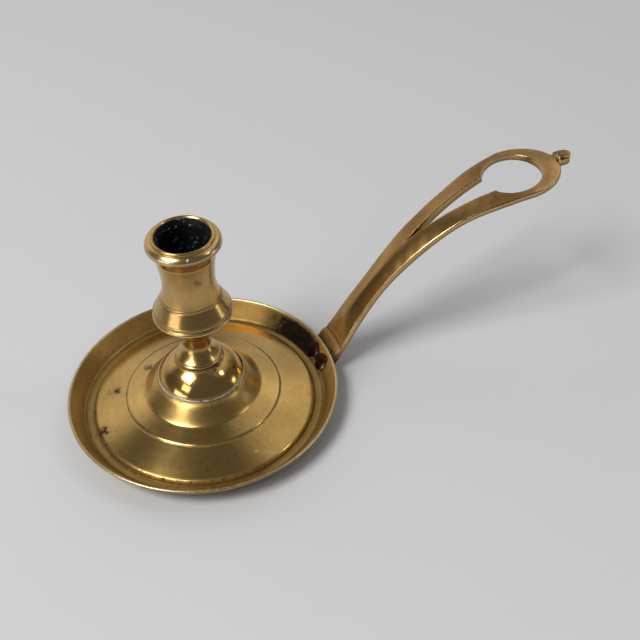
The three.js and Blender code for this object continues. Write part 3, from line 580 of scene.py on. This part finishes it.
def handleSurface():  # half plan by height: flat back, domed top, rounded edges; laid along the back and mirrored
    s, age = handleShape, handleAge
    table = handleTables()
    inner, outer, outline, slotRow, loopEnd = handlePlan(table["length"])
    slotAt = s["slotAt"]
    gap = np.linalg.norm(outer - inner, axis=1)[:, None]
    turn = np.linspace(0, np.pi / 2, 7)[None]
    startU = inner[:, :1]
    nearCusp = between(startU, *(slotAt + run for run in s["chipSpan"]))
    chips = 1 + s["chips"] * waves(startU, s["chipWaves"]) * nearCusp
    roundIn = s["innerRound"] * smooth(slotAt, slotAt + s["innerRun"], startU) * chips
    roundOut = s["outerRound"] * (.5 + .5 * smooth(0, s["outerRun"], startU))
    roundOut += (s["knobRound"] - roundOut) * smooth(loopEnd - 1, loopEnd, outer[:, :1])
    middle = np.linspace(0, 1, 18)[None, 1:-1]
    away = np.concatenate([roundIn * (1 - np.cos(turn)), roundIn + (gap - roundIn - roundOut) * middle,
                           gap - (roundOut * (1 - np.cos(turn)))[:, ::-1]], 1)
    sink = np.concatenate([roundIn * (1 - np.sin(turn)), 0 * (gap * middle),
                           (roundOut * (1 - np.sin(turn)))[:, ::-1]], 1)
    plan = inner[:, None] + (outer - inner)[:, None] * (away / gap)[..., None]
    u, v = plan[..., 0], plan[..., 1]
    half = np.interp(u, *outline.T)
    crown = s["crown"] + (s["loopCrown"] - s["crown"]) * smooth(slotAt, slotAt + s["crownSink"], u)  # lower at the loop
    crown *= smooth(s["ledgeAt"], s["crownFull"], u)
    fall = (np.hypot(np.clip(v / half, 0, 1), s["ridge"]) - s["ridge"]) / (np.hypot(1, s["ridge"]) - s["ridge"])
    dome = crown * (1 - fall)  # two flanks that meet in a rounded ridge
    onKnob = smooth(loopEnd + s["knobStart"][0], loopEnd + s["knobStart"][1], u)
    knobDrop, dropStart, dropEnd = s["knobFall"]
    knobTop = s["knobRise"] * (1 - knobDrop * smooth(dropStart, dropEnd, u - loopEnd))
    knobTop = knobTop * np.sqrt(1 - s["knobRoll"] * np.clip(v / s["knobHalf"], 0, 1) ** 2)
    dome = dome * (1 - onKnob) + knobTop * onKnob
    dome -= s["groove"] * (hump(u, s["ledgeAt"], s["grooveWidths"][0]) + hump(u, loopEnd, s["grooveWidths"][1]))
    ripple = sum(height * np.sin(u * along + v * side + start) for height, along, side, start in s["ripples"])
    dome += s["waver"] * ripple * smooth(*s["rippleFrom"], u)
    height = np.interp(u, table["u"], table["top"]) + dome - sink
    back, up = (np.stack([np.interp(u, table["u"], table[key][:, i]) for i in (0, 1)], -1) for key in ("back", "up"))
    bow = v ** 2 / (2 * panShape["radius"]) * (1 - smooth(0, s["bowRun"], u))  # the pad follows the round wall
    sheets = []
    for level in (height, 0 * height):
        place = back + up * level[..., None]
        sheets.append(np.stack([place[..., 0] - bow, v, place[..., 1]], -1).reshape(-1, 3))
    rows, columns = u.shape
    count = rows * columns
    sheet = gridFaces(rows, columns)
    row, column = np.arange(rows - 1), np.arange(columns - 1)
    rungs = np.stack([row, row + 1, row + 1, row], -1) * columns + np.array([0, 0, count, count])
    footWall = np.stack([column, column + 1, column + 1 + count, column + count], -1)
    faces = np.vstack([sheet, sheet + count, rungs + columns - 1, rungs[slotRow:], footWall])
    points = np.concatenate(sheets)

    wear = age["outerWear"] * np.exp(-(gap - away) / age["outerFade"]) * smooth(*age["outerFrom"], u)
    wear += age["innerWear"] * np.exp(-away / age["innerFade"]) * smooth(*age["innerFrom"], u - slotAt)
    wear += age["padWear"] * np.exp(-(gap - away) / age["padFade"]) * hump(u, *age["padBand"])
    dirt = hump(u, s["ledgeAt"], *age["ledgeDirt"]) + hump(u, loopEnd, *age["knobDirt"])
    dirt += age["footDirt"] * smooth(*age["footFrom"], u)
    brown = age["rootFilm"] * smooth(*age["rootFrom"], u) + age["loopFilm"] * smooth(*age["loopFrom"], u - slotAt)
    brown += age["knobFilm"] * onKnob
    pale = hump(u, loopEnd, *age["knobPale"])
    satin = age["satin"] * smooth(*age["satinFrom"], u)
    bare = 0 * u
    layers = {"wear": (wear, bare), "grime": (dirt, age["underDirt"] + age["underShare"] * dirt),
              "film": (brown, age["underFilm"] + bare), "residue": (pale, bare), "satin": (satin, bare)}
    layers = {name: np.tile(np.concatenate([top.ravel(), under.ravel()]), 2) for name, (top, under) in layers.items()}
    patina = age["patina"] * between(u - slotAt, *age["patinaSpan"])  # on the left prong only
    tarnish = age["tarnish"] * between(u, *age["tarnishSpan"])  # tarnish and painted shade, on the right flank only
    layers["film"][:count] += patina.ravel()
    layers["film"][len(points):len(points) + count] += tarnish.ravel()
    both = np.vstack([points, points * (1, -1, 1)])
    return both, np.vstack([faces, faces[:, ::-1] + len(points)]), layers


points, faces, layers = handleSurface()
handleBrass = brassFinish("cast_brass_worn_satin", handleLook)  # browner than the pan, mottled, its edges rubbed bright
makePiece("handle_strap", points, faces, handleBrass, "handle", "handle_brass", handleShape["crease"], **layers)


# rivets

rivetShape = {"spacing": 8.6, "height": 4.9, "radius": 2, "headSeat": .95, "head": (3.95, 1.05), "full": (.75, .5),
              "under": (.15, .2), "tailSeat": -4.55, "tail": (2.4, .7), "turns": 48, "crease": 50,
              "hammered": (.9, 1.3), "dents": .14, "stretch": .05, "facet": .09}
rivetAge = {"rimDirt": (.95, .35, .5), "pale": (1, .32), "paleTurn": 212, "paleArc": (-.1, .5)}
rivetLook = dict(handleLook, bright="#53291d", dull="#26130f", wear="#70402f", film="#1e100d", grime="#120b0a",
                 residue="#c3bfae", patchMm=4, mottleMm=1.1, mottleShare=.6, mottleDepth=.4, markMm=.8, pitMm=2,
                 rough=(.32, .48))


def rivetProfile():  # domed head inside the pan, shank, low peened tail behind the pad
    s = rivetShape
    seat, tailSeat = s["headSeat"], s["tailSeat"]
    radius, rise = s["head"]
    tail, drop = s["tail"]
    high, wide = s["full"]
    low = bezier([(0, tailSeat - drop), (tail, tailSeat - drop), (tail, tailSeat)], 12)
    shank = [(s["radius"], tailSeat), (s["radius"], seat), (radius - s["under"][0], seat - s["under"][1])]
    head = bezier([(radius, seat), (radius, seat + rise * high), (radius * wide, seat + rise), (0, seat + rise)], 22)
    return np.vstack([low, shank, head])


def rivetPiece(name, node, side, start, material):  # hammered: the head's radius and height waver with the angle
    s = rivetShape
    profile = rivetProfile()

    def hammered(r, z, a):
        head = smooth(*s["hammered"], z)
        facets = np.cos(4 * a + start) + .6 * np.cos(3 * a - start * 2)
        longer = 1 + head * (s["stretch"] * np.cos(2 * a) + s["facet"] * facets)
        return r * longer, z - head * s["dents"] * (1 + np.cos(a * 2 + start)) * r / 3

    points = lathe(profile, s["turns"], hammered)
    wall = wallRadius(s["height"])
    aside = Matrix.Rotation(side * np.arcsin(s["spacing"] / 2 / wall), 4, "Z")
    lean = Matrix.Rotation(radians(panShape["lean"] - 90), 4, "Y")
    place = np.array(aside @ Matrix.Translation((wall, 0, s["height"])) @ lean)
    points = points @ place[:3, :3].T + place[:3, 3]
    z = np.tile(profile[:, 1], (s["turns"], 1))
    a = np.linspace(0, 2 * np.pi, s["turns"], endpoint=False)[:, None]
    facing = smooth(*rivetAge["paleArc"], np.cos(a - radians(rivetAge["paleTurn"])))
    makePiece(name, points, gridFaces(*points.shape[:2], True), material, node, "rivet_copper", s["crease"],
              grime=hump(z, *rivetAge["rimDirt"]), residue=hump(z, *rivetAge["pale"]) * facing)


rivetCopper = brassFinish("hammered_dark_copper", rivetLook)  # dull red-brown, almost black in the hollows
rivetPiece("rivet_left", "handle_rivet_left", 1, .4, rivetCopper)
rivetPiece("rivet_right", "handle_rivet_right", -1, 2.2, rivetCopper)


# washer and nut, under the pan

ironLook = dict(handleLook, bright="#5b554e", dull="#4a4139", wear="#7a736a", film="#5e3a22", grime="#1b1612",
                patchMm=5, mottleMm=1, mottleShare=.7, mottleDepth=.5, markMm=.7, pitMm=2, rough=(.55, .75))
iron = brassFinish("rusty_wrought_iron", ironLook)  # grey-brown, dull, with rust in patches
for node in ("stem_washer", "stem_nut"):
    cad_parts[node].data.materials.clear()
    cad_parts[node].data.materials.append(iron)


# floor, light and camera

stageLook = {"floor": "#d0d0d0", "rough": .6, "gloss": .2, "reach": 5, "room": "#fdfbff", "roomStrength": .13,
             "lampAway": 2.4}
lamps = [
    {"name": "softbox_left_high", "turn": -168, "climb": 54, "size": (1, .85), "watts": 40},
    {"name": "softbox_left_low", "turn": -156, "climb": 30, "size": (.8, .6), "watts": 4.4},
    {"name": "softbox_right_low", "turn": -21, "climb": 9, "size": (.4, .3), "watts": 1.5},
    {"name": "softbox_left_table", "turn": -164, "climb": 9, "size": (1.3, .4), "watts": 5.4},
    {"name": "softbox_right_high", "turn": -27, "climb": 44, "size": (.3, .3), "watts": 2.5},
]
glows = [
    {"turn": 18, "climb": 50, "inner": 8, "outer": 32, "strength": .6},
    {"turn": 48, "climb": 26, "inner": 10, "outer": 34, "strength": .5},
    {"turn": 108, "climb": 19, "inner": 14, "outer": 38, "strength": .62},
    {"turn": 98, "climb": 48, "inner": 6, "outer": 24, "strength": .4},
]
cameraSet = {"at": (-.14127, -.32113, .34626), "turn": (47.5496, 1.3121, -24.385), "lens": 59.0625, "sensor": 36}

floorMesh = bpy.data.meshes.new("floor")
reach = stageLook["reach"]
corners = [(-reach, -reach, 0), (reach, -reach, 0), (reach, reach, 0), (-reach, reach, 0)]
floorMesh.from_pydata(corners, [], [(0, 1, 2, 3)])
floorPaint = bpy.data.materials.new("pale_matt_paint")  # plain light grey, hardly any shine
floorPaint.use_nodes = True
shader = floorPaint.node_tree.nodes["Principled BSDF"]
shader.inputs["Base Color"].default_value = linear(stageLook["floor"])
shader.inputs["Roughness"].default_value = stageLook["rough"]
shader.inputs["Specular IOR Level"].default_value = stageLook["gloss"]
floorMesh.materials.append(floorPaint)
floor = bpy.data.objects.new("floor", floorMesh)
scene.collection.objects.link(floor)


def aimAt(turn, climb):  # direction from the object, turned from +X and raised from the floor
    turn, climb = radians(turn), radians(climb)
    return np.array([np.cos(climb) * np.cos(turn), np.cos(climb) * np.sin(turn), np.sin(climb)])


world = bpy.data.worlds.new("studio")
scene.world = world
world.use_nodes = True
tree = world.node_tree
tree.nodes.clear()
direction = addNode(tree, "ShaderNodeTexCoord")
strength = stageLook["roomStrength"]
for glow in glows:  # soft round lights on the walls of the room
    near = addNode(tree, "ShaderNodeVectorMath", 1, {"operation": "DOT_PRODUCT"},
                   i0=direction, i1=aimAt(glow["turn"], glow["climb"]))
    edge, core = np.cos(radians(glow["outer"])), np.cos(radians(glow["inner"]))
    soft = addNode(tree, "ShaderNodeMapRange", 0, {"interpolation_type": "SMOOTHSTEP"},
                   Value=near, i1=edge, i2=core, i3=0, i4=glow["strength"])
    strength = addNode(tree, "ShaderNodeMath", 0, {"operation": "ADD"}, i0=soft, i1=strength)
room = addNode(tree, "ShaderNodeBackground", Color=stageLook["room"], Strength=strength)
addNode(tree, "ShaderNodeOutputWorld", Surface=room)

for lamp in lamps:
    data = bpy.data.lights.new(lamp["name"], "AREA")
    data.shape = "RECTANGLE"
    data.size, data.size_y = lamp["size"]
    data.energy = lamp["watts"]
    made = bpy.data.objects.new(lamp["name"], data)
    scene.collection.objects.link(made)
    made.location = aimAt(lamp["turn"], lamp["climb"]) * stageLook["lampAway"]
    made.rotation_euler = (-made.location).to_track_quat("-Z", "Y").to_euler()
    made.visible_camera = False

cameraData = bpy.data.cameras.new("camera")
cameraData.lens, cameraData.sensor_width = cameraSet["lens"], cameraSet["sensor"]
camera = bpy.data.objects.new("camera", cameraData)
scene.collection.objects.link(camera)
camera.location = cameraSet["at"]
camera.rotation_euler = [radians(angle) for angle in cameraSet["turn"]]
scene.camera = camera
print("stage set")
